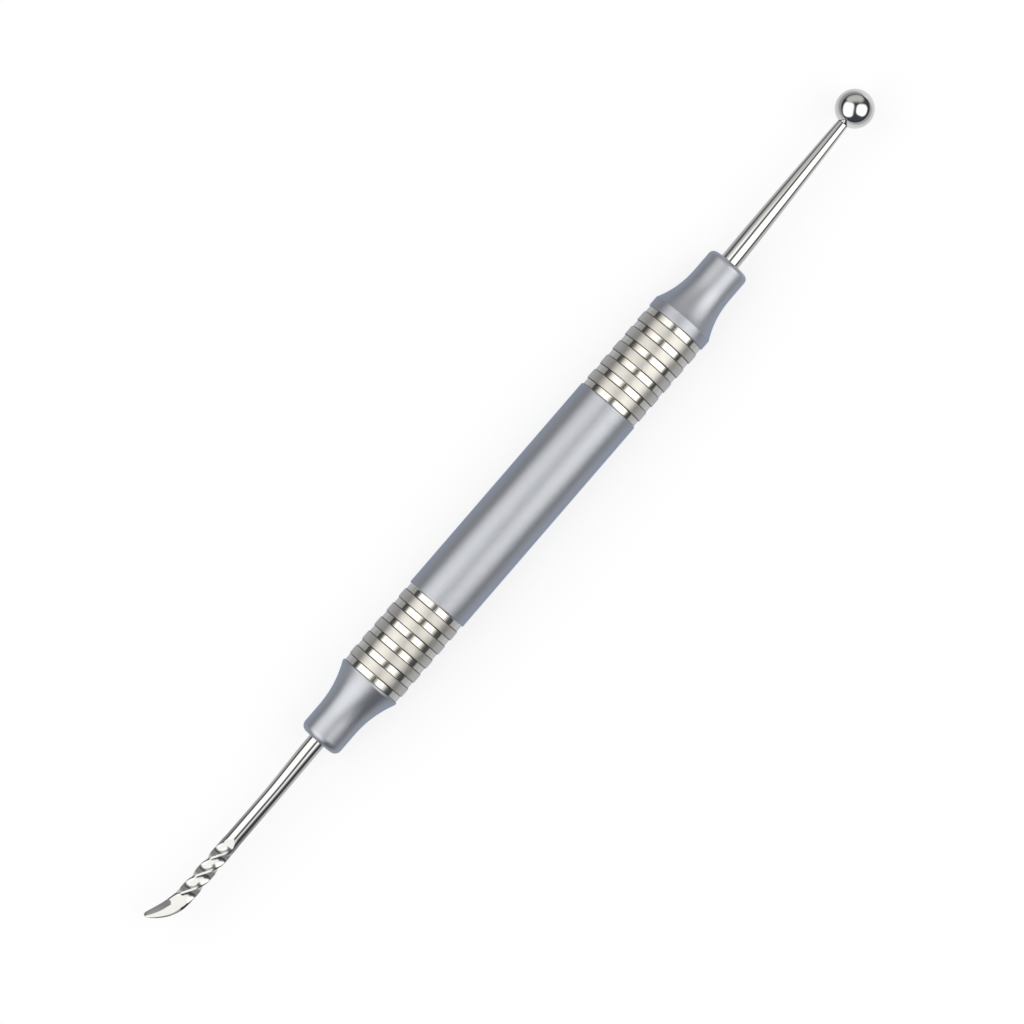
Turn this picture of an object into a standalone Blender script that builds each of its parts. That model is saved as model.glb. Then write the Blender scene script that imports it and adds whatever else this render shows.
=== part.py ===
"""Double-ended manicure tool: a ball on a tapered shank at one end, a twisted bar with a curved blade at the other.

The tool lies along X with the ball towards +X. Z is up, and the blade curves towards +Y.
The origin lies on the table, under the middle of the tool's overall length.
"""

from math import acos, atan2, cos, hypot, pi, radians, sin, sqrt, tan

import bmesh
import bpy
from mathutils import Matrix, Vector

MM = 0.001

# Barrel, a tube
BARREL_LENGTH = 38.47 * MM
BARREL_DIAMETER = 10.15 * MM
BARREL_BORE = 6.4 * MM
BARREL_EDGE_RADIUS = 0.2 * MM

# Ribbed grips, one on each side of the barrel
RIB_COUNT = 5
RIB_DIAMETER = 10.02 * MM
RIB_WALL_RUN = 0.16 * MM
BALL_END_RIB_WIDTH = 1.79 * MM
BLADE_END_RIB_WIDTH = 1.72 * MM
GROOVE_WIDTH = 1.0 * MM
GROOVE_FLOOR_DIAMETER = 9.72 * MM
BARREL_SPIGOT_LENGTH = 4.0 * MM
COLLAR_SPIGOT_LENGTH = 2.5 * MM
COLLAR_SPIGOT_DIAMETER = 6.4 * MM

# Collars: a land, a hollow flare and a round nose
COLLAR_LAND_DIAMETER = 10.1 * MM
COLLAR_LAND_EDGE_RADIUS = 0.15 * MM
COLLAR_NOSE_DIAMETER = 6.85 * MM
COLLAR_NOSE_WALL = 1.2 * MM
BALL_COLLAR_LENGTH = 12.4 * MM
BALL_COLLAR_LAND = 1.7 * MM
BALL_COLLAR_FLARE = 7.0 * MM
BALL_COLLAR_FLARE_POWER = 2.3
BALL_COLLAR_NOSE_CORNER = 0.85 * MM
BLADE_COLLAR_LENGTH = 11.75 * MM
BLADE_COLLAR_LAND = 0.45 * MM
BLADE_COLLAR_FLARE = 7.3 * MM
BLADE_COLLAR_FLARE_POWER = 2.15
BLADE_COLLAR_NOSE_CORNER = 1.1 * MM

# Tie rod through the handle, and the sleeves that hold the shanks in the collars
TIE_ROD_DIAMETER = 4.5 * MM
TIE_ROD_EDGE_RADIUS = 0.4 * MM
FERRULE_LENGTH = 4.6 * MM

# Ball and its tapered shank, which leans out of line
BALL_DIAMETER = 5.92 * MM
BALL_SPIGOT_DIAMETER = 1.2 * MM
BALL_SPIGOT_LENGTH = 2.4 * MM
BALL_SHANK_LENGTH = 26.3 * MM
BALL_SHANK_ROOT_DIAMETER = 3.06 * MM
BALL_SHANK_LEAN = radians(1.58)
BALL_SHANK_LEAN_START = 4.5 * MM
# Along the shank from the collar to the ball, and the diameter there in shares of the root diameter
BALL_SHANK_TAPER_SHARES = ((0.0, 1.0), (0.2, 0.965), (0.45, 0.88), (0.7, 0.76), (0.9, 0.65), (1.0, 0.58))

# Blade shank, which enters its collar a little off centre
BLADE_SHANK_LENGTH = 20.1 * MM
BLADE_SHANK_DIAMETER = 2.52 * MM
BLADE_SHANK_ROOT_DIAMETER = 2.74 * MM
BLADE_SHANK_ROOT_TAPER = 11.0 * MM
BLADE_SEAT_OFFSET = 0.2 * MM

# Twisted square bar
BAR_SIDE = 2.1 * MM
BAR_CORNER_CHAMFER = 0.25 * MM
BAR_FLAT_RUN_IN = 1.6 * MM
BAR_TWIST_LENGTH = 10.1 * MM
BAR_QUARTER_TURNS = 3

# Curved blade
BLADE_LENGTH = 5.5 * MM
BLADE_REACH = 2.82 * MM
BLADE_ROOT_RUN_IN = 0.8 * MM
# Along the blade in shares of its length, then its hollow and its round edge in shares of its reach
# from the axis, and its thickness in shares of the bar's side
BLADE_OUTLINE_SHARES = (
    (0.0, 0.461, -0.436, 1.0),
    (0.184, 0.54, -0.394, 0.78),
    (0.395, 0.642, -0.259, 0.62),
    (0.605, 0.777, -0.035, 0.53),
    (0.816, 0.933, 0.321, 0.42),
    (0.92, 1.0, 0.56, 0.34),
    (0.98, 0.98, 0.72, 0.28),
    (1.0, 0.91, 0.81, 0.22),
)
# The ground bevel: where along the blade it starts and is full, the part of the width that it takes
# there and at the tip, and the part of the thickness that it leaves at the hollow edge
BEVEL_START_SHARE = 0.24
BEVEL_FULL_SHARE = 0.3
BEVEL_ROOT_WIDTH_SHARE = 0.37
BEVEL_TIP_WIDTH_SHARE = 0.46
BEVEL_EDGE_SHARE = 0.35

# Fits: on the radius between a shaft and its bore, between end faces that meet, and past the tie rod's ends
FIT_CLEARANCE = 0.02 * MM
FACE_GAP = 0.05 * MM
ROD_END_GAP = 0.4 * MM
CUT_OVERRUN = 0.3 * MM

# Facets and steps of the curved faces
ROUND_FACETS = 36
SHANK_FACETS = 24
CORNER_STEPS = 3
FLARE_STEPS = 8
BALL_STEPS = 16
TAPER_STEPS = 6
RUN_IN_STEPS = 5
TWIST_STEPS = 30
OUTLINE_STEPS = 2

# Places along the handle, from the middle of the barrel outwards
ball_grip_length = RIB_COUNT * BALL_END_RIB_WIDTH + (RIB_COUNT + 1) * GROOVE_WIDTH
blade_grip_length = RIB_COUNT * BLADE_END_RIB_WIDTH + (RIB_COUNT + 1) * GROOVE_WIDTH
ball_radius = BALL_DIAMETER / 2
ball_neck_radius = BALL_SHANK_ROOT_DIAMETER / 2 * BALL_SHANK_TAPER_SHARES[-1][1]
ball_lean_run = BALL_COLLAR_LENGTH - BALL_SHANK_LEAN_START
ball_centre_along = ball_lean_run + BALL_SHANK_LENGTH + FACE_GAP + sqrt(ball_radius**2 - ball_neck_radius**2)
ball_side_length = (BARREL_LENGTH / 2 + ball_grip_length + BALL_SHANK_LEAN_START
                    + ball_centre_along * cos(BALL_SHANK_LEAN) + ball_radius)
blade_tip_along = BLADE_SHANK_LENGTH + BAR_TWIST_LENGTH + BLADE_LENGTH
blade_side_length = BARREL_LENGTH / 2 + blade_grip_length + BLADE_COLLAR_LENGTH + blade_tip_along
barrel_middle_x = (blade_side_length - ball_side_length) / 2
axis_height = BARREL_DIAMETER / 2 * cos(pi / ROUND_FACETS)


def clear_scene():
    """Starts from an empty scene."""
    for old in list(bpy.data.objects):
        bpy.data.objects.remove(old)


def finish(name, colour, roughness):
    """A bare metal surface."""
    material = bpy.data.materials.new(name)
    material.use_nodes = True
    shader = material.node_tree.nodes["Principled BSDF"]
    shader.inputs["Base Color"].default_value = (*colour, 1.0)
    shader.inputs["Roughness"].default_value = roughness
    shader.inputs["Metallic"].default_value = 1.0
    return material


def guide(name, parent, location, turn):
    """An empty that carries pieces: its X axis is theirs."""
    empty = bpy.data.objects.new(name, None)
    bpy.context.scene.collection.objects.link(empty)
    empty.parent = parent
    empty.location = location
    empty.rotation_euler = (0, 0, turn)
    return empty


def piece(name, mesh_source, parent, material):
    """Turns a finished bmesh into a named object on its guide."""
    bmesh.ops.recalc_face_normals(mesh_source, faces=mesh_source.faces)
    mesh = bpy.data.meshes.new(name)
    mesh_source.to_mesh(mesh)
    mesh_source.free()
    mesh.shade_smooth()
    mesh.set_sharp_from_angle(angle=radians(28))
    obj = bpy.data.objects.new(name, mesh)
    bpy.context.scene.collection.objects.link(obj)
    obj.parent = parent
    if material is not None:
        mesh.materials.append(material)
    return obj


def rounded(corners):
    """An outline of (along, radius from the axis) points, with an arc wherever a corner names its radius."""
    points = []
    for place, corner in enumerate(corners):
        here = Vector(corner[:2])
        if len(corner) < 3:
            points.append(here)
            continue
        before = (Vector(corners[place - 1][:2]) - here).normalized()
        after = (Vector(corners[(place + 1) % len(corners)][:2]) - here).normalized()
        half_angle = before.angle(after) / 2
        centre = here + (before + after).normalized() * corner[2] / sin(half_angle)
        first = here + before * corner[2] / tan(half_angle) - centre
        sweep = first.angle_signed(here + after * corner[2] / tan(half_angle) - centre)
        for step in range(CORNER_STEPS + 1):
            arm = first.copy()
            arm.rotate(Matrix.Rotation(-sweep * step / CORNER_STEPS, 2))
            points.append(centre + arm)
    return points


def turned(name, outline, facets, parent, material):
    """A round piece: its outline is spun once around the X axis, with a facet lying flat below."""
    turning = bmesh.new()
    corners = [turning.verts.new((along, 0, radius)) for along, radius in outline]
    on_axis = outline[0][1] == 0 and outline[-1][1] == 0
    sides = [turning.edges.new(pair) for pair in zip(corners, corners[1:])]
    if not on_axis:
        sides.append(turning.edges.new((corners[-1], corners[0])))
    bmesh.ops.rotate(turning, verts=corners, cent=(0, 0, 0), matrix=Matrix.Rotation(pi / facets, 3, "X"))
    bmesh.ops.spin(turning, geom=corners + sides, cent=(0, 0, 0), axis=(1, 0, 0), angle=2 * pi,
                   steps=facets, use_merge=True)
    bmesh.ops.remove_doubles(turning, verts=turning.verts, dist=FIT_CLEARANCE / 100)
    return piece(name, turning, parent, material)


def lofted(name, sections, parent, material):
    """A piece skinned over rings of points, closed with a flat face at each end."""
    skin = bmesh.new()
    rings = [[skin.verts.new(point) for point in section] for section in sections]
    for ring, following in zip(rings, rings[1:]):
        for place in range(len(ring)):
            skin.faces.new((ring[place - 1], ring[place], following[place], following[place - 1]))
    skin.faces.new(rings[0])
    skin.faces.new(reversed(rings[-1]))
    return piece(name, skin, parent, material)


def bored(obj, cutter):
    """Cuts one piece with another's shape."""
    cut = obj.modifiers.new("bore", "BOOLEAN")
    cut.operation = "DIFFERENCE"
    cut.solver = "EXACT"
    cut.object = cutter


def as_cutter(obj):
    """Marks a shape that only cuts."""
    obj.hide_render = True
    obj.display_type = "WIRE"
    return obj


def ease(value, start, end):
    """Rises smoothly from 0 at start to 1 at end."""
    share = min(max((value - start) / (end - start), 0), 1)
    return share * share * (3 - 2 * share)


def blend(first, second, share):
    """The value that lies a share of the way from the first to the second."""
    return first + (second - first) * share


def smooth_rows(rows, steps):
    """More rows between the given ones, along one smooth curve through them all."""
    finer = []
    for place in range(len(rows) - 1):
        before = rows[max(place - 1, 0)]
        after = rows[min(place + 2, len(rows) - 1)]
        for step in range(steps):
            t = step / steps
            finer.append(tuple(
                0.5 * (2 * b + (c - a) * t + (2 * a - 5 * b + 4 * c - d) * t**2 + (3 * b - a - 3 * c + d) * t**3)
                for a, b, c, d in zip(before, rows[place], rows[place + 1], after)))
    finer.append(rows[-1])
    return finer


def ferrule_rear(collar_length):
    """How far a ferrule's rear face lies from its collar's rear face."""
    return collar_length - COLLAR_NOSE_WALL - FACE_GAP - FERRULE_LENGTH


def make_barrel(handle, satin):
    """The plain tube in the middle."""
    half = BARREL_LENGTH / 2
    bore = BARREL_BORE / 2
    outside = BARREL_DIAMETER / 2
    outline = rounded([
        (-half, bore),
        (-half, outside, BARREL_EDGE_RADIUS),
        (half, outside, BARREL_EDGE_RADIUS),
        (half, bore),
    ])
    turned("barrel", outline, ROUND_FACETS, handle, satin)


def make_grip(name, end, rib_width, grip_length, brushed):
    """A ribbed sleeve on the tie rod, with a spigot in the barrel and one in the collar."""
    bore = TIE_ROD_DIAMETER / 2 + FIT_CLEARANCE
    floor = GROOVE_FLOOR_DIAMETER / 2
    rib = RIB_DIAMETER / 2
    barrel_spigot = BARREL_BORE / 2 - FIT_CLEARANCE
    collar_spigot = COLLAR_SPIGOT_DIAMETER / 2 - FIT_CLEARANCE
    corners = [
        (-BARREL_SPIGOT_LENGTH, bore),
        (-BARREL_SPIGOT_LENGTH, barrel_spigot),
        (FACE_GAP, barrel_spigot),
        (FACE_GAP, floor),
    ]
    for count in range(RIB_COUNT):
        start = GROOVE_WIDTH + count * (rib_width + GROOVE_WIDTH)
        corners += [
            (start, floor),
            (start + RIB_WALL_RUN, rib),
            (start + rib_width - RIB_WALL_RUN, rib),
            (start + rib_width, floor),
        ]
    corners += [
        (grip_length, floor),
        (grip_length, collar_spigot),
        (grip_length + COLLAR_SPIGOT_LENGTH, collar_spigot),
        (grip_length + COLLAR_SPIGOT_LENGTH, bore),
    ]
    turned(name, corners, ROUND_FACETS, end, brushed)


def make_collar(name, rear_guide, length, land, flare, flare_power, nose_corner, satin):
    """A collar with its rear face on the grip, still closed at the nose."""
    land_radius = COLLAR_LAND_DIAMETER / 2
    nose_radius = COLLAR_NOSE_DIAMETER / 2
    bore = TIE_ROD_DIAMETER / 2 + FIT_CLEARANCE
    spigot_bore = COLLAR_SPIGOT_DIAMETER / 2
    spigot_depth = COLLAR_SPIGOT_LENGTH + FACE_GAP
    curve = []
    for step in range(FLARE_STEPS, -1, -1):
        share = step / FLARE_STEPS
        curve.append((land + flare * share, blend(nose_radius, land_radius, (1 - share) ** flare_power)))
    corners = [
        (length, 0),
        (length, nose_radius, nose_corner),
        *curve,
        (FACE_GAP, land_radius, COLLAR_LAND_EDGE_RADIUS),
        (FACE_GAP, spigot_bore),
        (spigot_depth, spigot_bore),
        (spigot_depth, bore),
        (length - COLLAR_NOSE_WALL, bore),
        (length - COLLAR_NOSE_WALL, 0),
    ]
    return turned(name, rounded(corners), ROUND_FACETS, rear_guide, satin)


def make_ferrule(name, rear_guide, collar_length, brass):
    """The sleeve behind a collar's nose, still solid."""
    rear = ferrule_rear(collar_length)
    front = rear + FERRULE_LENGTH
    outside = TIE_ROD_DIAMETER / 2
    outline = [(rear, 0), (rear, outside), (front, outside), (front, 0)]
    return turned(name, outline, ROUND_FACETS, rear_guide, brass)


def make_tie_rod(handle, steel):
    """The rod that the grips slide over and the collars screw on to."""
    start = -(BARREL_LENGTH / 2 + blade_grip_length + ferrule_rear(BLADE_COLLAR_LENGTH) - ROD_END_GAP)
    end = BARREL_LENGTH / 2 + ball_grip_length + ferrule_rear(BALL_COLLAR_LENGTH) - ROD_END_GAP
    radius = TIE_ROD_DIAMETER / 2
    outline = rounded([
        (start, 0),
        (start, radius, TIE_ROD_EDGE_RADIUS),
        (end, radius, TIE_ROD_EDGE_RADIUS),
        (end, 0),
    ])
    turned("tie_rod", outline, ROUND_FACETS, handle, steel)


def make_ball_shank(seat, polished):
    """The tapered shank, on its leaning guide, with a tail in the ferrule and a spigot in the ball."""
    tail = ferrule_rear(BALL_COLLAR_LENGTH) - BALL_SHANK_LEAN_START
    root_radius = BALL_SHANK_ROOT_DIAMETER / 2
    spigot_radius = BALL_SPIGOT_DIAMETER / 2
    shoulder = ball_lean_run + BALL_SHANK_LENGTH
    outline = [(tail, 0), (tail, root_radius)]
    for along_share, radius_share in smooth_rows(BALL_SHANK_TAPER_SHARES, OUTLINE_STEPS):
        outline.append((ball_lean_run + along_share * BALL_SHANK_LENGTH, root_radius * radius_share))
    outline += [
        (shoulder, spigot_radius),
        (shoulder + BALL_SPIGOT_LENGTH, spigot_radius),
        (shoulder + BALL_SPIGOT_LENGTH, 0),
    ]
    turned("ball_shank", outline, SHANK_FACETS, seat, polished)


def make_ball(seat, polished):
    """The ball, with a blind hole for the shank's spigot."""
    hole = BALL_SPIGOT_DIAMETER / 2 + FIT_CLEARANCE
    hole_bottom = ball_lean_run + BALL_SHANK_LENGTH + BALL_SPIGOT_LENGTH + FACE_GAP
    mouth_angle = acos(-sqrt(1 - (hole / ball_radius) ** 2))
    outline = [(ball_centre_along + ball_radius, 0)]
    for step in range(1, BALL_STEPS + 1):
        angle = mouth_angle * step / BALL_STEPS
        outline.append((ball_centre_along + ball_radius * cos(angle), ball_radius * sin(angle)))
    outline += [(hole_bottom, hole), (hole_bottom, 0)]
    turned("ball", outline, ROUND_FACETS, seat, polished)


def bar_angles():
    """Angles around the bar: three on each flat, two at its edges and one on each corner."""
    half_side = BAR_SIDE / 2
    flat_edge = atan2(half_side - BAR_CORNER_CHAMFER, half_side)
    angles = []
    for quarter in range(4):
        middle = quarter * pi / 2
        angles += [middle + flat_edge * share for share in (-1, -0.5, 0, 0.5, 1)]
        angles.append(middle + pi / 4)
    return angles


def round_section(along, radius, middle_y):
    """A round ring with its points at the bar's angles."""
    return [(along, middle_y + radius * cos(angle), radius * sin(angle)) for angle in bar_angles()]


def shank_section(along):
    """The blade tip's section on its round shank, which centres itself as it leaves the collar."""
    share = ease(along, 0, BLADE_SHANK_ROOT_TAPER)
    radius = blend(BLADE_SHANK_ROOT_DIAMETER, BLADE_SHANK_DIAMETER, share) / 2
    return round_section(along, radius, -BLADE_SEAT_OFFSET * (1 - share))


def bar_point(angle, along):
    """One point of the bar: round, then flat above and below, then flat at the sides too, and twisted."""
    twist_start = BLADE_SHANK_LENGTH
    twist_share = min(max((along - twist_start) / BAR_TWIST_LENGTH, 0), 1)
    half_side = BAR_SIDE / 2
    corner_radius = hypot(half_side, half_side - BAR_CORNER_CHAMFER)
    flattened = ease(along, twist_start - BAR_FLAT_RUN_IN, twist_start)
    squared = ease(along, twist_start, twist_start + BAR_FLAT_RUN_IN)
    reach = blend(BLADE_SHANK_DIAMETER / 2, corner_radius, flattened)
    upper = blend(reach, half_side, flattened)
    beside = blend(reach, half_side, squared)
    reach = min(reach, upper / max(abs(sin(angle)), upper / reach))
    reach = min(reach, beside / max(abs(cos(angle)), beside / reach))
    turned = angle + BAR_QUARTER_TURNS * pi / 2 * twist_share
    return reach * cos(turned), reach * sin(turned)


def bar_section(along):
    """The twisted bar's section, turned by its share of the twist and spread sideways towards the blade."""
    twist_end = BLADE_SHANK_LENGTH + BAR_TWIST_LENGTH
    root = BLADE_OUTLINE_SHARES[0]
    root_half_width = BLADE_REACH * (root[1] - root[2]) / 2
    root_middle = -BLADE_REACH * (root[1] + root[2]) / 2
    spread = ease(along, twist_end - BLADE_ROOT_RUN_IN, twist_end)
    section = []
    for angle in bar_angles():
        y, z = bar_point(angle, along)
        wide_y = root_middle + y * root_half_width / (BAR_SIDE / 2)
        section.append((along, blend(y, wide_y, spread), z))
    return section


def blade_section(row):
    """A section of the blade: the bar's square drawn out flat, ground down towards its hollow edge."""
    along_share, hollow_share, round_share, thickness_share = row
    blade_start = BLADE_SHANK_LENGTH + BAR_TWIST_LENGTH
    width = (hollow_share - round_share) * BLADE_REACH
    hollow_edge = -hollow_share * BLADE_REACH
    ground = ease(along_share, BEVEL_START_SHARE, BEVEL_FULL_SHARE)
    bevel_width = blend(BEVEL_ROOT_WIDTH_SHARE, BEVEL_TIP_WIDTH_SHARE, ease(along_share, BEVEL_FULL_SHARE, 1))
    line_share = blend(0.5, bevel_width, ease(along_share, 0, BEVEL_START_SHARE))
    line = hollow_edge + width * line_share
    half_thickness = thickness_share * BAR_SIDE / 2
    section = []
    for angle in bar_angles():
        y, z = bar_point(angle, blade_start)
        across = y / (BAR_SIDE / 2)
        height = half_thickness * (1 + z / (BAR_SIDE / 2))
        if across < 0:
            place = line + across * width * line_share
            height *= 1 + across * ground * (1 - BEVEL_EDGE_SHARE)
        else:
            place = line + across * width * (1 - line_share)
        section.append((blade_start + along_share * BLADE_LENGTH, place, height - half_thickness))
    return section


def make_twisted_blade(tail_end, nose_guide, polished):
    """The blade tip in one forging, from the tail in its ferrule, behind the nose, out to the blade."""
    sections = [shank_section(tail_end)]
    for step in range(TAPER_STEPS + 1):
        sections.append(shank_section(BLADE_SHANK_ROOT_TAPER * step / TAPER_STEPS))
    for step in range(RUN_IN_STEPS, 0, -1):
        sections.append(bar_section(BLADE_SHANK_LENGTH - BAR_FLAT_RUN_IN * step / RUN_IN_STEPS))
    for step in range(TWIST_STEPS):
        sections.append(bar_section(BLADE_SHANK_LENGTH + BAR_TWIST_LENGTH * step / TWIST_STEPS))
    for row in smooth_rows(BLADE_OUTLINE_SHARES, OUTLINE_STEPS):
        sections.append(blade_section(row))
    lofted("twisted_blade", sections, nose_guide, polished)


def make_ball_end(end, satin, brushed, polished, brass):
    """Everything on the ball's side of the barrel."""
    make_grip("ball_end_grip", end, BALL_END_RIB_WIDTH, ball_grip_length, brushed)
    rear = guide("ball_collar_rear", end, (ball_grip_length, 0, 0), 0)
    collar = make_collar("ball_end_collar", rear, BALL_COLLAR_LENGTH, BALL_COLLAR_LAND, BALL_COLLAR_FLARE,
                         BALL_COLLAR_FLARE_POWER, BALL_COLLAR_NOSE_CORNER, satin)
    ferrule = make_ferrule("ball_shank_ferrule", rear, BALL_COLLAR_LENGTH, brass)
    seat = guide("ball_seat_axis", rear, (BALL_SHANK_LEAN_START, 0, 0), BALL_SHANK_LEAN)
    hole = BALL_SHANK_ROOT_DIAMETER / 2 + FIT_CLEARANCE
    inner = ferrule_rear(BALL_COLLAR_LENGTH) - BALL_SHANK_LEAN_START - CUT_OVERRUN
    outer = ball_lean_run + CUT_OVERRUN
    drill = [(inner, 0), (inner, hole), (outer, hole), (outer, 0)]
    cutter = as_cutter(turned("ball_seat_cutter", drill, SHANK_FACETS, seat, None))
    bored(collar, cutter)
    bored(ferrule, cutter)
    make_ball_shank(seat, polished)
    make_ball(seat, polished)


def make_blade_end(end, satin, brushed, polished, brass):
    """Everything on the blade's side of the barrel."""
    make_grip("blade_end_grip", end, BLADE_END_RIB_WIDTH, blade_grip_length, brushed)
    rear = guide("blade_collar_rear", end, (blade_grip_length, 0, 0), 0)
    collar = make_collar("blade_end_collar", rear, BLADE_COLLAR_LENGTH, BLADE_COLLAR_LAND, BLADE_COLLAR_FLARE,
                         BLADE_COLLAR_FLARE_POWER, BLADE_COLLAR_NOSE_CORNER, satin)
    ferrule = make_ferrule("blade_shank_ferrule", rear, BLADE_COLLAR_LENGTH, brass)
    nose = guide("blade_collar_nose", rear, (BLADE_COLLAR_LENGTH, 0, 0), 0)
    hole = BLADE_SHANK_ROOT_DIAMETER / 2 + FIT_CLEARANCE
    tail_end = ferrule_rear(BLADE_COLLAR_LENGTH) - BLADE_COLLAR_LENGTH
    drill = [round_section(along, hole, -BLADE_SEAT_OFFSET) for along in (tail_end - CUT_OVERRUN, CUT_OVERRUN)]
    cutter = as_cutter(lofted("blade_seat_cutter", drill, nose, None))
    bored(collar, cutter)
    bored(ferrule, cutter)
    make_twisted_blade(tail_end, nose, polished)


def build():
    """Makes the whole tool."""
    clear_scene()
    satin = finish("satin_steel", (0.58, 0.6, 0.64), 0.34)
    brushed = finish("brushed_steel", (0.7, 0.68, 0.66), 0.28)
    polished = finish("polished_steel", (0.82, 0.82, 0.83), 0.06)
    steel = finish("drawn_steel", (0.5, 0.5, 0.5), 0.4)
    brass = finish("ferrule_brass", (0.74, 0.57, 0.3), 0.35)
    handle = guide("handle_axis", None, (barrel_middle_x, 0, axis_height), 0)
    ball_end = guide("ball_end", handle, (BARREL_LENGTH / 2, 0, 0), 0)
    blade_end = guide("blade_end", handle, (-BARREL_LENGTH / 2, 0, 0), pi)
    make_barrel(handle, satin)
    make_tie_rod(handle, steel)
    make_ball_end(ball_end, satin, brushed, polished, brass)
    make_blade_end(blade_end, satin, brushed, polished, brass)


build()
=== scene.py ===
from math import asin, atan2, cos, hypot, pi, radians, sin, sqrt, tan

import bmesh
import bpy
from mathutils import Matrix, Vector


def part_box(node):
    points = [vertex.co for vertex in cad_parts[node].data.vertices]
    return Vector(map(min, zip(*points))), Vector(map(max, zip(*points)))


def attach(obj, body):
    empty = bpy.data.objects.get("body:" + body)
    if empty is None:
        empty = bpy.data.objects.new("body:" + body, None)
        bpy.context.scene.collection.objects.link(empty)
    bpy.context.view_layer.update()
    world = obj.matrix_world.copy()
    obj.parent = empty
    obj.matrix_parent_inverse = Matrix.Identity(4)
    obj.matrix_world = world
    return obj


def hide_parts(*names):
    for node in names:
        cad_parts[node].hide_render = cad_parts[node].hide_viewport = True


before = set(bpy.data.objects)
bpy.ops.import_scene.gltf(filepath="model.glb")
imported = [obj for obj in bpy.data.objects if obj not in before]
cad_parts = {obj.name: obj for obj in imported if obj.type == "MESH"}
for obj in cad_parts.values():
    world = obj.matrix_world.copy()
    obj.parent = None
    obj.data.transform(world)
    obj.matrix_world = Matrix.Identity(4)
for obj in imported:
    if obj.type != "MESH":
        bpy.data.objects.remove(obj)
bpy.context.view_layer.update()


# Tie rod: the steel rod through the middle of the handle, cut from drawn bar, with the fine lengthwise
# lines of the drawing die. The grips slide over it, and the collars screw on to its two ends.
mm = 0.001
die_line_width = 0.05 * mm
die_line_depth = 0.004 * mm
oil_patch = 3 * mm
oily_steel = (0.44, 0.44, 0.45)
dry_steel = (0.56, 0.56, 0.56)


class Wire:
    """What a shader node puts out. Arithmetic on it adds Math nodes, so a sum reads as it does in Python."""

    def __init__(self, tree, socket):
        self.tree = tree
        self.socket = socket

    def maths(self, operation, *values):
        """A Math node that works on these values."""
        return self.tree.add("ShaderNodeMath", {"operation": operation}, dict(enumerate(values)))

    def __add__(self, other):
        return self.maths("ADD", self, other)

    def __radd__(self, other):
        return self.maths("ADD", other, self)

    def __sub__(self, other):
        return self.maths("SUBTRACT", self, other)

    def __rsub__(self, other):
        return self.maths("SUBTRACT", other, self)

    def __mul__(self, other):
        return self.maths("MULTIPLY", self, other)

    def __rmul__(self, other):
        return self.maths("MULTIPLY", other, self)

    def __pow__(self, other):
        return self.maths("POWER", self, other)

    def __rpow__(self, other):
        return self.maths("POWER", other, self)

    def __abs__(self):
        return self.maths("ABSOLUTE", self)


class Tree:
    """A node tree that is being wired."""

    def __init__(self, tree):
        self.tree = tree

    def feed(self, node, sockets):
        """Feeds a node's sockets with wires or plain values. A plain colour is given as three numbers."""
        for name, value in sockets.items():
            socket = node.inputs[name]
            if isinstance(value, Wire):
                self.tree.links.new(value.socket, socket)
            elif socket.type == "RGBA":
                socket.default_value = (*value, 1.0)
            else:
                socket.default_value = value

    def add(self, kind, settings, sockets, output=0):
        """One node: its settings, then the values or wires of its sockets. Gives back what it puts out."""
        node = self.tree.nodes.new(kind)
        for name, value in settings.items():
            setattr(node, name, value)
        self.feed(node, sockets)
        return Wire(self, node.outputs[output])

    def mixed(self, first, second, share):
        """The colour that lies a share of the way from the first to the second."""
        return self.add("ShaderNodeMix", {"data_type": "RGBA"}, {0: share, 6: first, 7: second}, 2)

    def step(self, value, start, end):
        """Rises smoothly from 0 where the value is at start to 1 where it is at end."""
        sockets = {"Value": value, "From Min": start, "From Max": end}
        return self.add("ShaderNodeMapRange", {"interpolation_type": "SMOOTHSTEP"}, sockets)

    def coordinate(self, axis, kind="Object"):
        """The X, Y or Z of each point, in one kind of texture coordinates."""
        vector = self.add("ShaderNodeTexCoord", {}, {}, kind)
        return self.add("ShaderNodeSeparateXYZ", {}, {"Vector": vector}, axis)


class Finish(Tree):
    """A surface on its way to being a material."""

    def __init__(self, name):
        self.material = bpy.data.materials.new(name)
        self.material.use_nodes = True
        super().__init__(self.material.node_tree)

    def grain(self, size, stretch=(1, 1, 1), detail=2.0):
        """Cloudy marks about as big as size, drawn out along an axis where its stretch is small."""
        sockets = {0: self.add("ShaderNodeTexCoord", {}, {}, "Object"), 1: [part / size for part in stretch]}
        vector = self.add("ShaderNodeVectorMath", {"operation": "MULTIPLY"}, sockets)
        return self.add("ShaderNodeTexNoise", {}, {"Vector": vector, "Scale": 1.0, "Detail": detail}, "Fac")

    def relief(self, height, depth, under=None):
        """The normal of a surface whose marks are that deep, on top of another relief if there is one."""
        sockets = {"Height": height, "Distance": depth, "Strength": 1.0}
        if under is not None:
            sockets["Normal"] = under
        return self.add("ShaderNodeBump", {}, sockets)

    def metal(self, colour, roughness, normal, edge=(1.0, 1.0, 1.0)):
        """The finished material of a bare metal, tinted by its edge colour where it is seen at a slant."""
        self.feed(self.tree.nodes["Principled BSDF"], {
            "Base Color": colour, "Roughness": roughness, "Normal": normal,
            "Metallic": 1.0, "Specular Tint": edge})
        return self.material

    def shown(self, surface):
        """The finished material that shows this shader."""
        self.feed(self.tree.nodes["Material Output"], {"Surface": surface})
        return self.material


def refinish(node, material):
    """Gives a node of the frame, whose shape is kept, its real surface."""
    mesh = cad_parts[node].data
    mesh.materials.clear()
    mesh.materials.append(material)


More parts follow.
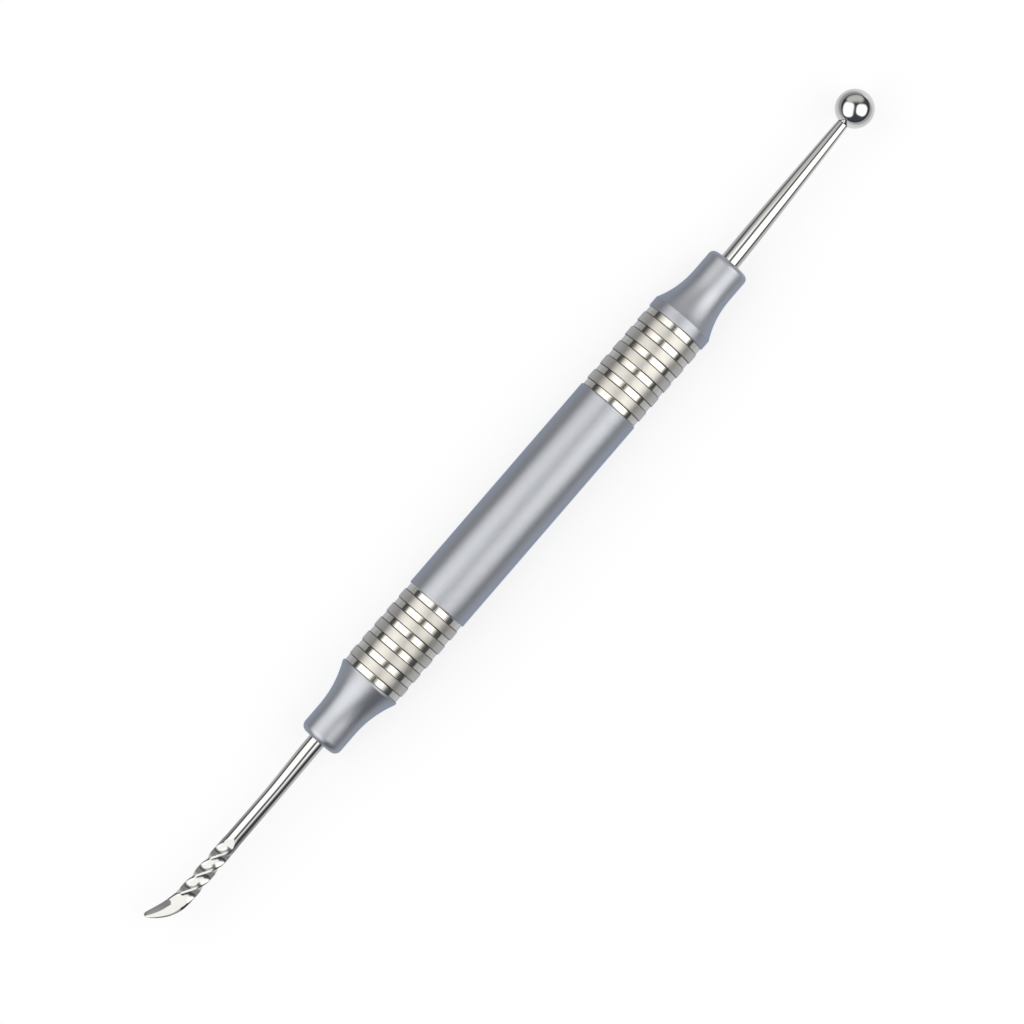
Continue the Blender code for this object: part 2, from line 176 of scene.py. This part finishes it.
drawn = Finish("drawn_steel")
die_lines = drawn.grain(die_line_width, stretch=(0.01, 1, 1), detail=3.0)
oil_film = drawn.grain(oil_patch)
refinish("tie_rod", drawn.metal(
    colour=drawn.mixed(oily_steel, dry_steel, oil_film),
    roughness=0.3 + die_lines * 0.2,
    normal=drawn.relief(die_lines, die_line_depth)))


# Ferrules: short turned brass sleeves behind each collar's nose. They grip the tails of the two shanks,
# and they carry the fine rings of the lathe tool and a light brown tarnish.
tool_ring_width = 0.06 * mm
tool_ring_depth = 0.004 * mm
tarnish_patch = 1.5 * mm
tarnish_shows = (0.45, 0.75)
bright_brass = (0.76, 0.58, 0.3)
tarnished_brass = (0.55, 0.38, 0.18)
brass = Finish("ferrule_brass")
tool_rings = brass.grain(tool_ring_width, stretch=(1, 0.01, 0.01))
tarnish = brass.grain(tarnish_patch, detail=4.0)
turned_brass = brass.metal(
    colour=brass.mixed(bright_brass, tarnished_brass, brass.step(tarnish, *tarnish_shows)),
    roughness=0.28 + tarnish * 0.16,
    normal=brass.relief(tool_rings, tool_ring_depth))
refinish("ball_shank_ferrule", turned_brass)
refinish("blade_shank_ferrule", turned_brass)


# Grips: steel sleeves on the tie rod, turned with six shallow grooves each. The ribs keep the fine rings
# of the lathe and look warm and satin. The groove floors between them are polished bright, and a painted
# shade, a brown so dark that it is nearly black, lies on the walls between the two.
barrel_low, barrel_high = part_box("barrel")
axis_height = (barrel_low.z + barrel_high.z) / 2
rib_radius = 4.99 * mm
rib_count = 5
ball_end_rib = 1.79 * mm
blade_end_rib = 1.72 * mm
groove_radius = 4.84 * mm
groove_width = 1.0 * mm
groove_wall_run = 0.16 * mm
groove_corner = 0.05 * mm
seam_corner = 0.02 * mm
grip_bore = 2.27 * mm
spigot_radius = 3.17 * mm
barrel_spigot = 4.0 * mm
collar_spigot = 2.5 * mm
broken_edge = 0.1 * mm
face_gap = 0.05 * mm
round_facets = 144
settle = 0.03 * mm
long_run = 6 * settle
no_width = 0.0001 * mm
satin_rises = (groove_radius + 0.06 * mm, rib_radius - 0.03 * mm)
wall_shade_rises = (groove_radius + 0.002 * mm, groove_radius + 0.01 * mm)
wall_shade_falls = (rib_radius - 0.003 * mm, rib_radius - 0.025 * mm)
lathe_ring_width = 0.045 * mm
lathe_ring_depth = 0.02 * mm
handled_patch = 2.2 * mm
bright_floor = (0.78, 0.75, 0.695)
dull_rib = (0.655, 0.635, 0.605)
clear_rib = (0.725, 0.705, 0.67)
# Painted shade: a brown so dark that it is nearly black, laid on the groove walls where the grooves' shade
# falls
painted_wall_shade = (0.06, 0.048, 0.035)


def softened(corners, steps):
    """An outline of (along, radius) points. A corner that names a third number is rounded by that radius.
    Each long straight run gets a point near either end, so that it is shaded flat up to its corners."""
    points = []
    for place, corner in enumerate(corners):
        here = Vector(corner[:2])
        if len(corner) < 3:
            points.append(here)
            continue
        before = (Vector(corners[place - 1][:2]) - here).normalized()
        after = (Vector(corners[(place + 1) % len(corners)][:2]) - here).normalized()
        half_angle = before.angle(after) / 2
        centre = here + (before + after).normalized() * corner[2] / sin(half_angle)
        first = here + before * corner[2] / tan(half_angle) - centre
        sweep = first.angle_signed(here + after * corner[2] / tan(half_angle) - centre)
        for step in range(steps + 1):
            arm = first.copy()
            arm.rotate(Matrix.Rotation(-sweep * step / steps, 2))
            points.append(centre + arm)
    settled = []
    for place, point in enumerate(points):
        run = points[(place + 1) % len(points)] - point
        settled.append(point)
        if run.length > long_run:
            settled += [point + run.normalized() * settle, point + run - run.normalized() * settle]
    return settled


def in_scene(name, data):
    """An object in the scene that shows this mesh or holds this camera."""
    piece = bpy.data.objects.new(name, data)
    bpy.context.scene.collection.objects.link(piece)
    return piece


def skinned(name, rings, material, closed=False, crease=30):
    """A piece skinned over rings of points, where a ring without width is one point. A closed piece joins
    its last ring to its first, as a tube does, and any other has a face on each open end."""
    mesh_in_work = bmesh.new()
    loops = []
    for ring in rings:
        if (Vector(ring[0]) - Vector(ring[len(ring) // 2])).length < no_width:
            loops.append([mesh_in_work.verts.new(ring[0])] * len(ring))
        else:
            loops.append([mesh_in_work.verts.new(point) for point in ring])
    pairs = list(zip(loops, loops[1:]))
    if closed:
        pairs.append((loops[-1], loops[0]))
    for ring, following in pairs:
        for place in range(len(ring)):
            corners = [ring[place - 1], ring[place], following[place], following[place - 1]]
            corners = [corner for index, corner in enumerate(corners) if corner is not corners[index - 1]]
            if len(corners) > 2:
                mesh_in_work.faces.new(corners)
    if not closed:
        for ring in (loops[0], loops[-1]):
            if ring[0] is not ring[1]:
                mesh_in_work.faces.new(ring)
    bmesh.ops.recalc_face_normals(mesh_in_work, faces=mesh_in_work.faces)
    mesh = bpy.data.meshes.new(name)
    mesh_in_work.to_mesh(mesh)
    mesh_in_work.free()
    mesh.shade_smooth()
    mesh.set_sharp_from_angle(angle=radians(crease))
    mesh.materials.append(material)
    return in_scene(name, mesh)


def circle(x, side, radius):
    """A ring of points round a line that runs beside the handle's axis."""
    angles = [2 * pi * place / round_facets for place in range(round_facets)]
    return [(x, side + radius * cos(angle), axis_height + radius * sin(angle)) for angle in angles]


def tube(name, outline, start, way, material):
    """A tube turned round the handle's axis. Its outline runs from x = start, towards +X if way is 1."""
    rings = [circle(start + way * along, 0, radius) for along, radius in outline]
    return skinned(name, rings, material, closed=True)


def placed(piece, node):
    """The piece stands for that node of the frame, which it hides, and moves with the root body."""
    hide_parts(node)
    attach(piece, "root")


ribbed = Finish("ribbed_steel")
from_axis = (ribbed.coordinate("Y") ** 2 + (ribbed.coordinate("Z") - axis_height) ** 2) ** 0.5
on_rib = ribbed.step(from_axis, *satin_rises)
# The groove walls, where the painted shade is laid
on_wall = ribbed.step(from_axis, *wall_shade_rises) * ribbed.step(from_axis, *wall_shade_falls)
lathe_rings = ribbed.grain(lathe_ring_width, stretch=(1, 0.004, 0.004), detail=3.0)
handling = ribbed.grain(handled_patch, stretch=(0.6, 1, 1), detail=3.0)
unshaded_colour = ribbed.mixed(bright_floor, ribbed.mixed(dull_rib, clear_rib, handling), on_rib)
ribbed_steel = ribbed.metal(
    colour=ribbed.mixed(unshaded_colour, painted_wall_shade, on_wall * 0.95),
    roughness=0.16 + on_rib * (0.15 + lathe_rings * 0.08 + handling * 0.04),
    normal=ribbed.relief(lathe_rings * on_rib, lathe_ring_depth),
    edge=(0.72, 0.79, 0.92))


def grip(name, node, start, way, rib_width):
    """A ribbed sleeve whose barrel end lies at x = start."""
    length = rib_count * rib_width + (rib_count + 1) * groove_width
    outline = [
        (-barrel_spigot, grip_bore, broken_edge),
        (-barrel_spigot, spigot_radius, broken_edge),
        (face_gap, spigot_radius),
        (face_gap, groove_radius, seam_corner),
    ]
    for count in range(rib_count):
        rib_start = groove_width + count * (rib_width + groove_width)
        outline += [
            (rib_start, groove_radius, groove_corner),
            (rib_start + groove_wall_run, rib_radius, groove_corner),
            (rib_start + rib_width - groove_wall_run, rib_radius, groove_corner),
            (rib_start + rib_width, groove_radius, groove_corner),
        ]
    outline += [
        (length, groove_radius, seam_corner),
        (length, spigot_radius),
        (length + collar_spigot, spigot_radius, broken_edge),
        (length + collar_spigot, grip_bore, broken_edge),
    ]
    placed(tube(name, softened(outline, steps=3), start, way, ribbed_steel), node)


grip("ball_end_grip_turned", "ball_end_grip", barrel_high.x, 1, ball_end_rib)
grip("blade_end_grip_turned", "blade_end_grip", barrel_low.x, -1, blade_end_rib)


# Barrel: the plain tube between the grips, clamped by them. Its outside is turned, blasted and rubbed to
# an even cool grey satin, a little thicker than the ribs beside it, with its end edges just broken.
barrel_length = barrel_high.x - barrel_low.x
barrel_radius = axis_height
barrel_bore = 3.2 * mm
barrel_edge = 0.18 * mm
blasted_grain = 0.05 * mm
blasted_depth = 0.0012 * mm
turned_ring_width = 0.05 * mm
turned_ring_depth = 0.015 * mm
rubbed_line_width = 0.35 * mm
cloud_size = 5 * mm
dark_satin = (0.48, 0.503, 0.558)
pale_satin = (0.545, 0.566, 0.62)
satin = Finish("satin_steel")
blasting = satin.grain(blasted_grain)
turning = satin.grain(turned_ring_width, stretch=(1, 0.01, 0.01))
rubbing = satin.grain(rubbed_line_width, stretch=(0.05, 1, 1), detail=3.0)
clouds = satin.grain(cloud_size, stretch=(0.35, 1, 1), detail=3.0)
satin_steel = satin.metal(
    colour=satin.mixed(dark_satin, pale_satin, clouds * 0.6 + rubbing * 0.4),
    roughness=0.37 + clouds * 0.06 + rubbing * 0.04,
    normal=satin.relief(blasting, blasted_depth, under=satin.relief(turning, turned_ring_depth)),
    edge=(0.55, 0.66, 0.9))
barrel_outline = softened([
    (0, barrel_bore, broken_edge),
    (0, barrel_radius, barrel_edge),
    (barrel_length, barrel_radius, barrel_edge),
    (barrel_length, barrel_bore, broken_edge),
], steps=4)
placed(tube("barrel_tube", barrel_outline, barrel_low.x, 1, satin_steel), "barrel")


# Collars: the two ends of the handle, screwed on to the tie rod. Each is turned with a short land and a
# hollow flare down to a round nose, and finished as the barrel is. The shank's hole is a little off centre.
land_radius = 5.03 * mm
land_edge = 0.14 * mm
nose_radius = 3.41 * mm
nose_wall = 1.2 * mm
collar_bore = 2.27 * mm
spigot_bore = 3.2 * mm
spigot_bore_edge = 0.06 * mm
hole_edge = 0.12 * mm
flare_steps = 28
lean = radians(1.58)
seat_offset = 0.2 * mm


def collar(name, node, way, land, flare, power, nose_corner, hole_radius, hole_side, hole_lean):
    """A collar from its rear face to its nose, with a hole that is hole_side off centre at the nose face."""
    low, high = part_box(node)
    start = low.x if way > 0 else high.x
    length = high.x - low.x
    outline = [
        (collar_spigot, spigot_bore),
        (0, spigot_bore, spigot_bore_edge),
        (0, land_radius, land_edge),
    ]
    for step in range(flare_steps + 1):
        share = step / flare_steps
        radius = nose_radius + (land_radius - nose_radius) * (1 - share) ** power
        outline.append((land + flare * share, radius))
    outline += [(length, nose_radius, nose_corner), (length, hole_radius)]
    # The last four points lead on to the hole, which has rings of its own
    points = softened(outline, steps=8)[:-4]
    rings = [circle(start + way * along, 0, radius) for along, radius in points]
    hole_outline = [
        (length, hole_radius + hole_edge),
        (length - hole_edge, hole_radius),
        (length - nose_wall, hole_radius),
    ]
    for along, radius in hole_outline:
        side = hole_side + (along - length) * tan(hole_lean)
        rings.append(circle(start + way * along, side, radius))
    rings += [circle(start + way * along, 0, collar_bore) for along in (length - nose_wall, collar_spigot)]
    placed(skinned(name, rings, satin_steel, closed=True), node)


collar("ball_end_collar_turned", "ball_end_collar", way=1, land=1.65 * mm, flare=7.0 * mm, power=2.3,
       nose_corner=0.85 * mm, hole_radius=1.55 * mm, hole_side=0.218 * mm, hole_lean=lean)
collar("blade_end_collar_turned", "blade_end_collar", way=-1, land=0.4 * mm, flare=7.3 * mm, power=2.15,
       nose_corner=1.1 * mm, hole_radius=1.4 * mm, hole_side=seat_offset, hole_lean=0)


# Ball shank: polished steel wire, ground to a slow taper and pressed into its ferrule. It leans about a
# degree and a half out of line, and it shows the faint lengthwise lines of the polishing wheel.
shank_run = 7.9 * mm
lean_start_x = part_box("ball_end_collar")[1].x - shank_run
shank_tail = 2.0 * mm
shank_root = 1.53 * mm
shank_length = 26.3 * mm
shank_end = shank_run + shank_length
# Along the taper, and its radius there, as shares of the whole
shank_taper = ((0.0, 1.0), (0.2, 0.965), (0.45, 0.88), (0.7, 0.76), (0.9, 0.65), (1.0, 0.58))
ball_spigot_radius = 0.6 * mm
ball_spigot_end = shank_end + 2.4 * mm
shank_facets = 96
wheel_line_width = 0.07 * mm
wheel_line_depth = 0.0006 * mm
smear_size = 1.8 * mm
dull_polish = (0.62, 0.62, 0.625)
clear_polish = (0.67, 0.67, 0.675)


def on_curve(before, first, second, after, share):
    """The value a share of the way from the first to the second, on a smooth curve through all four."""
    slope = second - before
    bend = 2 * before - 5 * first + 4 * second - after
    twist = 3 * first - before - 3 * second + after
    return 0.5 * (2 * first + slope * share + bend * share ** 2 + twist * share ** 3)


def eased_rows(rows, steps):
    """More rows between the given ones, on one smooth curve through them all."""
    finer = []
    for place in range(len(rows) - 1):
        before = rows[max(place - 1, 0)]
        after = rows[min(place + 2, len(rows) - 1)]
        columns = list(zip(before, rows[place], rows[place + 1], after))
        finer += [tuple(on_curve(*column, step / steps) for column in columns) for step in range(steps)]
    finer.append(rows[-1])
    return finer


def leaning(name, outline, material, facets):
    """A piece turned round the ball shank's leaning axis. Its outline is counted from that axis's start."""
    rings = []
    for along, radius in outline:
        ring = []
        for place in range(facets):
            angle = 2 * pi * place / facets
            side = radius * cos(angle)
            ring.append((lean_start_x + along * cos(lean) - side * sin(lean),
                         along * sin(lean) + side * cos(lean), axis_height + radius * sin(angle)))
        rings.append(ring)
    return skinned(name, rings, material)


polished = Finish("polished_steel")
wheel_lines = polished.grain(wheel_line_width, stretch=(0.02, 1, 1))
smears = polished.grain(smear_size, detail=3.0)
polished_steel = polished.metal(
    colour=polished.mixed(dull_polish, clear_polish, smears),
    roughness=0.035 + wheel_lines * 0.03 + smears * 0.02,
    normal=polished.relief(wheel_lines, wheel_line_depth))
shank_outline = [(shank_tail, 0), (shank_tail, shank_root)]
for along_share, radius_share in eased_rows(shank_taper, steps=8):
    shank_outline.append((shank_run + along_share * shank_length, shank_root * radius_share))
shank_outline += [
    (shank_end, ball_spigot_radius),
    (ball_spigot_end, ball_spigot_radius),
    (ball_spigot_end, 0),
]
shank = leaning("ball_shank_ground", shank_outline, polished_steel, shank_facets)
placed(shank, "ball_shank")


# Ball: a hard polished steel ball, drilled and pushed on to the shank's spigot, where a fine dark joint
# line shows.
ball_radius = 2.95 * mm
ball_steps = 64
ball_facets = 128
push_fit = 0.02 * mm
neck_radius = shank_root * shank_taper[-1][1]
ball_middle = shank_end + face_gap + sqrt(ball_radius ** 2 - neck_radius ** 2)
ball_hole_radius = ball_spigot_radius + push_fit
ball_hole_end = ball_spigot_end + face_gap
mouth_angle = pi - asin(ball_hole_radius / ball_radius)
ball_outline = []
for step in range(ball_steps + 1):
    angle = mouth_angle * step / ball_steps
    ball_outline.append((ball_middle + ball_radius * cos(angle), ball_radius * sin(angle)))
ball_outline += [(ball_hole_end, ball_hole_radius), (ball_hole_end, 0)]
placed(leaning("ball_polished", ball_outline, polished_steel, ball_facets), "ball")


# Blade tip: one steel forging, pressed into its ferrule. The round shank's end is squared and twisted three
# quarter turns, and past the twist it is drawn out flat, curved, and ground along its hollow edge. The bar
# is polished less finely than the shank, and the ground bevel is matt.
blade_nose_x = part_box("blade_end_collar")[0].x
tip_tail = 5.8 * mm
tip_shank_length = 20.1 * mm
tip_shank_radius = 1.26 * mm
tip_shank_root = 1.37 * mm
root_taper = 11.0 * mm
half_bar = 1.05 * mm
bar_chamfer = 0.25 * mm
flat_run_in = 1.6 * mm
twist_length = 10.1 * mm
quarter_turns = 3
blade_root = tip_shank_length + twist_length
blade_root_run_in = 0.8 * mm
blade_length = 5.5 * mm
blade_reach = 2.82 * mm
# Along the blade, its hollow edge and its round edge as shares of its reach, and its thickness
blade_rows = (
    (0.0, 0.461, -0.436, 1.0),
    (0.184, 0.54, -0.394, 0.78),
    (0.395, 0.642, -0.259, 0.62),
    (0.605, 0.777, -0.035, 0.53),
    (0.816, 0.933, 0.321, 0.42),
    (0.92, 1.0, 0.56, 0.34),
    (0.98, 0.98, 0.72, 0.28),
    (1.0, 0.91, 0.81, 0.22),
)
bevel_start = 0.24
bevel_full = 0.3
bevel_width_at_start = 0.37
bevel_width_at_tip = 0.46
bevel_edge = 0.35
bar_polish_starts = (tip_shank_length - 0.8 * mm, tip_shank_length + 0.4 * mm)
bar_polish_ends = (blade_root, blade_root - 1.2 * mm)
grinding_starts = (blade_root + 0.2 * blade_length, blade_root + 0.28 * blade_length)
bevel_slopes = (0.985, 0.93)
hammer_mark = 0.5 * mm
grinding_line_width = 0.12 * mm
taper_steps = 12
run_in_steps = 16
twist_steps = 120


def ease(value, start, end):
    """Rises smoothly from 0 at start to 1 at end."""
    share = min(max((value - start) / (end - start), 0), 1)
    return share * share * (3 - 2 * share)


def between(first, second, share):
    """The value that lies a share of the way from the first to the second."""
    return first + (second - first) * share


def bar_angles():
    """Angles round the bar: eleven on each flat and two on each corner."""
    flat_edge = atan2(half_bar - bar_chamfer, half_bar)
    angles = []
    for quarter in range(4):
        middle = quarter * pi / 2
        angles += [middle + flat_edge * (step - 5) / 5 for step in range(11)]
        angles += [middle + flat_edge + (pi / 2 - 2 * flat_edge) * share for share in (1 / 3, 2 / 3)]
    return angles


def bar_point(angle, along):
    """One point of the bar: round, then flat above and below, then at the sides too, and twisted."""
    twisted = min(max((along - tip_shank_length) / twist_length, 0), 1)
    corner_radius = hypot(half_bar, half_bar - bar_chamfer)
    flattened = ease(along, tip_shank_length - flat_run_in, tip_shank_length)
    squared = ease(along, tip_shank_length, tip_shank_length + flat_run_in)
    reach = between(tip_shank_radius, corner_radius, flattened)
    upper = between(reach, half_bar, flattened)
    beside = between(reach, half_bar, squared)
    reach = min(reach, upper / max(abs(sin(angle)), upper / reach))
    reach = min(reach, beside / max(abs(cos(angle)), beside / reach))
    turned_by = angle + quarter_turns * pi / 2 * twisted
    return reach * cos(turned_by), reach * sin(turned_by)


def shank_ring(along):
    """A ring of the round shank, which centres itself as it leaves the collar."""
    share = ease(along, 0, root_taper)
    radius = between(tip_shank_root, tip_shank_radius, share)
    return [(along, -seat_offset * (1 - share) + radius * cos(angle), radius * sin(angle))
            for angle in bar_angles()]


def bar_ring(along):
    """A ring of the twisted bar, spread sideways towards the blade at its end."""
    hollow_share, round_share = blade_rows[0][1:3]
    half_width = blade_reach * (hollow_share - round_share) / 2
    middle = -blade_reach * (hollow_share + round_share) / 2
    spread = ease(along, blade_root - blade_root_run_in, blade_root)
    ring = []
    for angle in bar_angles():
        side, up = bar_point(angle, along)
        ring.append((along, between(side, middle + side * half_width / half_bar, spread), up))
    return ring


def blade_ring(row):
    """A ring of the blade: the bar's square drawn out flat and ground down towards its hollow edge."""
    along_share, hollow_share, round_share, thickness_share = row
    width = (hollow_share - round_share) * blade_reach
    hollow_edge = -hollow_share * blade_reach
    ground = ease(along_share, bevel_start, bevel_full)
    bevel_width = between(bevel_width_at_start, bevel_width_at_tip, ease(along_share, bevel_full, 1))
    line_share = between(0.5, bevel_width, ease(along_share, 0, bevel_start))
    line = hollow_edge + width * line_share
    half_thickness = thickness_share * half_bar
    ring = []
    for angle in bar_angles():
        side, up = bar_point(angle, blade_root)
        across = side / half_bar
        height = half_thickness * (1 + up / half_bar)
        if across < 0:
            place = line + across * width * line_share
            height *= 1 + across * ground * (1 - bevel_edge)
        else:
            place = line + across * width * (1 - line_share)
        ring.append((blade_root + along_share * blade_length, place, height - half_thickness))
    return ring


forged = Finish("forged_steel")
from_nose = blade_nose_x - forged.coordinate("X")
on_bar = forged.step(from_nose, *bar_polish_starts) * forged.step(from_nose, *bar_polish_ends)
upward = abs(forged.coordinate("Z", "Normal"))
on_bevel = forged.step(upward, *bevel_slopes) * forged.step(from_nose, *grinding_starts)
hammering = forged.grain(hammer_mark, detail=3.0)
tip_lines = forged.grain(wheel_line_width, stretch=(0.02, 1, 1))
grinding = forged.grain(grinding_line_width, stretch=(1, 0.1, 1))
forged_steel = forged.metal(
    colour=forged.mixed(dull_polish, clear_polish, hammering),
    roughness=0.05 + on_bar * (0.12 + hammering * 0.06) + on_bevel * (0.24 + grinding * 0.12),
    normal=forged.relief(tip_lines, wheel_line_depth))

tip_rings = [shank_ring(-tip_tail)]
for step in range(taper_steps + 1):
    tip_rings.append(shank_ring(root_taper * step / taper_steps))
for step in range(run_in_steps, 0, -1):
    tip_rings.append(bar_ring(tip_shank_length - flat_run_in * step / run_in_steps))
for step in range(twist_steps):
    tip_rings.append(bar_ring(tip_shank_length + twist_length * step / twist_steps))
tip_rings += [blade_ring(row) for row in eased_rows(blade_rows, steps=8)]
tip_rings = [[(blade_nose_x - along, -side, axis_height + up) for along, side, up in ring]
             for ring in tip_rings]
blade_tip = skinned("blade_tip_forged", tip_rings, forged_steel, crease=24)
placed(blade_tip, "twisted_blade")


# Floor: a plain white sheet under the tool. It keeps the tool's soft shadow and is topped up to white for
# the camera. What the metal mirrors of it is topped up less, as a painted pool of light that is least beside
# the blade and away from the tool, because the rims of the real metal are grey.
floor_reach = 20
sheet_colour = (0.26, 0.265, 0.276)
# Each pair says where a change in the topping up begins, and where it is full
handle_pool = (28 * mm, 0)
ball_end_pool = (50 * mm, 65 * mm)
lighter_side = (20 * mm, -20 * mm)
blade_pool = (8 * mm, 3 * mm)
blade_to_handle = (-64 * mm, -56 * mm)
cool_white = (0.985, 0.993, 1.0)
white = (1.0, 1.0, 1.0)
white_level = 0.72
# Shares of that level: for the camera, and for what the metal mirrors
for_camera = 1.04
away_from_handle = 0.2
more_near_handle = 0.45
more_near_ball_end = 0.3
more_on_lighter_side = 0.15
away_from_blade = 0.08
more_near_blade = 0.6


def flat(name, corners, material):
    """A flat piece of the studio with four corners."""
    mesh = bpy.data.meshes.new(name)
    mesh.from_pydata(corners, [], [(0, 1, 2, 3)])
    mesh.materials.append(material)
    return in_scene(name, mesh)


def rectangle(x, y):
    """The corners of a level rectangle that reaches x and y from its middle."""
    return [(-x, -y, 0), (x, -y, 0), (x, y, 0), (-x, y, 0)]


paper = Finish("white_sheet")
camera_ray, glossy_ray, clear_ray = [
    paper.add("ShaderNodeLightPath", {}, {}, name)
    for name in ("Is Camera Ray", "Is Glossy Ray", "Is Transmission Ray")]
along = paper.coordinate("X")
beside = paper.coordinate("Y")
# A painted pool of light on the floor, seen only in what the metal mirrors: brightest near the handle, more
# towards the ball end and on one side, and a narrow strip of it under the blade
more_near = more_near_handle + paper.step(along, *ball_end_pool) * more_near_ball_end
by_handle = away_from_handle + paper.step(abs(beside), *handle_pool) * more_near
by_handle = by_handle + paper.step(beside, *lighter_side) * more_on_lighter_side
by_blade = away_from_blade + paper.step(abs(beside), *blade_pool) * more_near_blade
pool = by_blade + (by_handle - by_blade) * paper.step(along, *blade_to_handle)
seen = camera_ray * for_camera + (glossy_ray + clear_ray) * pool
tint = paper.mixed(cool_white, white, camera_ray)
glow = paper.add("ShaderNodeEmission", {}, {"Color": tint, "Strength": seen * white_level})
sheet = paper.tree.nodes["Principled BSDF"]
paper.feed(sheet, {"Base Color": sheet_colour, "Roughness": 1.0, "Specular IOR Level": 0.0})
topped_up = paper.add("ShaderNodeAddShader", {}, {0: Wire(paper, sheet.outputs[0]), 1: glow})
floor = flat("floor", rectangle(floor_reach, floor_reach), paper.shown(topped_up))


# Softboxes: two large soft panels of light, one on each side of the camera, and a dim one that stands for
# the pale wall behind the top of the picture. The metal's bright bands are what it mirrors of them.
lamp_colour = (1.0, 0.98, 0.93)


def shining(cloth, share, brightness):
    """The finished material of a lamp, which shines by this share and is clear elsewhere."""
    clear = cloth.add("ShaderNodeBsdfTransparent", {}, {})
    glow = cloth.add("ShaderNodeEmission", {}, {"Color": lamp_colour, "Strength": brightness})
    return cloth.shown(cloth.add("ShaderNodeMixShader", {}, {0: share, 1: clear, 2: glow}))


def softbox(name, azimuth, zenith, away, wide, tall, roll, corner, fade, brightness):
    """A panel that faces the tool, with round corners and soft edges. It reaches wide and tall from its
    middle, and fade is how far its light dies away on either side of its edge."""
    cloth = Finish(name)
    past = []
    for axis, reach in (("X", wide), ("Y", tall)):
        beyond = abs(cloth.coordinate(axis)) - (reach - corner)
        past.append(cloth.add("ShaderNodeMath", {"operation": "MAXIMUM"}, {0: beyond, 1: 0}))
    lit = cloth.step((past[0] ** 2 + past[1] ** 2) ** 0.5, corner + fade, corner - fade)
    panel = flat(name, rectangle(wide + fade, tall + fade), shining(cloth, lit, brightness))
    turned_to = Matrix.Rotation(radians(azimuth), 4, "Z") @ Matrix.Rotation(radians(zenith), 4, "Y")
    spun = Matrix.Rotation(radians(90 + roll), 4, "Z")
    panel.matrix_world = turned_to @ Matrix.Translation((0, 0, away)) @ spun
    panel.visible_camera = False


softbox("left_softbox", azimuth=137, zenith=42, away=0.49, wide=0.475, tall=0.325, roll=-20,
        corner=0.265, fade=0.1, brightness=1.65)
softbox("right_softbox", azimuth=303, zenith=41, away=0.4, wide=0.226, tall=0.231, roll=0,
        corner=0.165, fade=0.065, brightness=1.88)
softbox("pale_wall", azimuth=38, zenith=60, away=0.465, wide=0.37, tall=0.18, roll=5,
        corner=0.18, fade=0.12, brightness=0.72)


# Blade card: a white card over the blade's end, lit on its under side only. It stands for the light that
# the twisted bar and the blade mirror there, and it casts no shadow.
near_x = -66.5 * mm
near_side = 35 * mm
near_height = 32.1 * mm
far_x = -146.3 * mm
far_side = 170 * mm
far_height = 117.7 * mm
card_brightness = 1.4
card_corners = [
    (near_x, near_side, near_height),
    (near_x, -near_side, near_height),
    (far_x, -far_side, far_height),
    (far_x, far_side, far_height),
]
card_paper = Finish("blade_card")
behind = card_paper.add("ShaderNodeNewGeometry", {}, {}, "Backfacing")
card = flat("blade_card", card_corners, shining(card_paper, 1 - behind, card_brightness))
card.visible_camera = False
card.visible_diffuse = False
card.visible_shadow = False


# Room: white behind everything that the camera sees past the floor. What the metal mirrors of it beside
# the softboxes is dim, and darkest towards the floor.
dark_room = (0.032, 0.036, 0.044)
dim_room = (0.07, 0.077, 0.089)
above_floor = (0.02, 0.25)
world = bpy.data.worlds.new("studio")
world.use_nodes = True
bpy.context.scene.world = world
studio = Tree(world.node_tree)
height = studio.coordinate("Z", "Generated")
mirrored = studio.mixed(dark_room, dim_room, studio.step(height, *above_floor))
light = studio.mixed(mirrored, white, studio.add("ShaderNodeLightPath", {}, {}, "Is Camera Ray"))
studio.feed(world.node_tree.nodes["Background"], {"Color": light, "Strength": 1.0})


# Camera: a long lens almost straight above the tool, a little nearer to its blade end, with the tool
# lying corner to corner in the picture.
aim = Vector((-0.495 * mm, 0.45 * mm, axis_height))
distance = 0.735
tilt = radians(1.51)
turn = radians(49.214)
picture_width = 149.5 * mm
sensor_width = 36
camera = in_scene("camera", bpy.data.cameras.new("camera"))
camera.data.sensor_width = sensor_width
camera.data.lens = sensor_width * distance / picture_width
camera.data.clip_start = 0.01
back = Vector((-sin(tilt), 0, cos(tilt)))
up = Vector((sin(turn), cos(turn), 0))
up = (up - back * up.dot(back)).normalized()
facing = Matrix((up.cross(back), up, back)).transposed().to_4x4()
camera.matrix_world = Matrix.Translation(aim + back * distance) @ facing
bpy.context.scene.camera = camera
bpy.context.scene.view_settings.view_transform = "Standard"
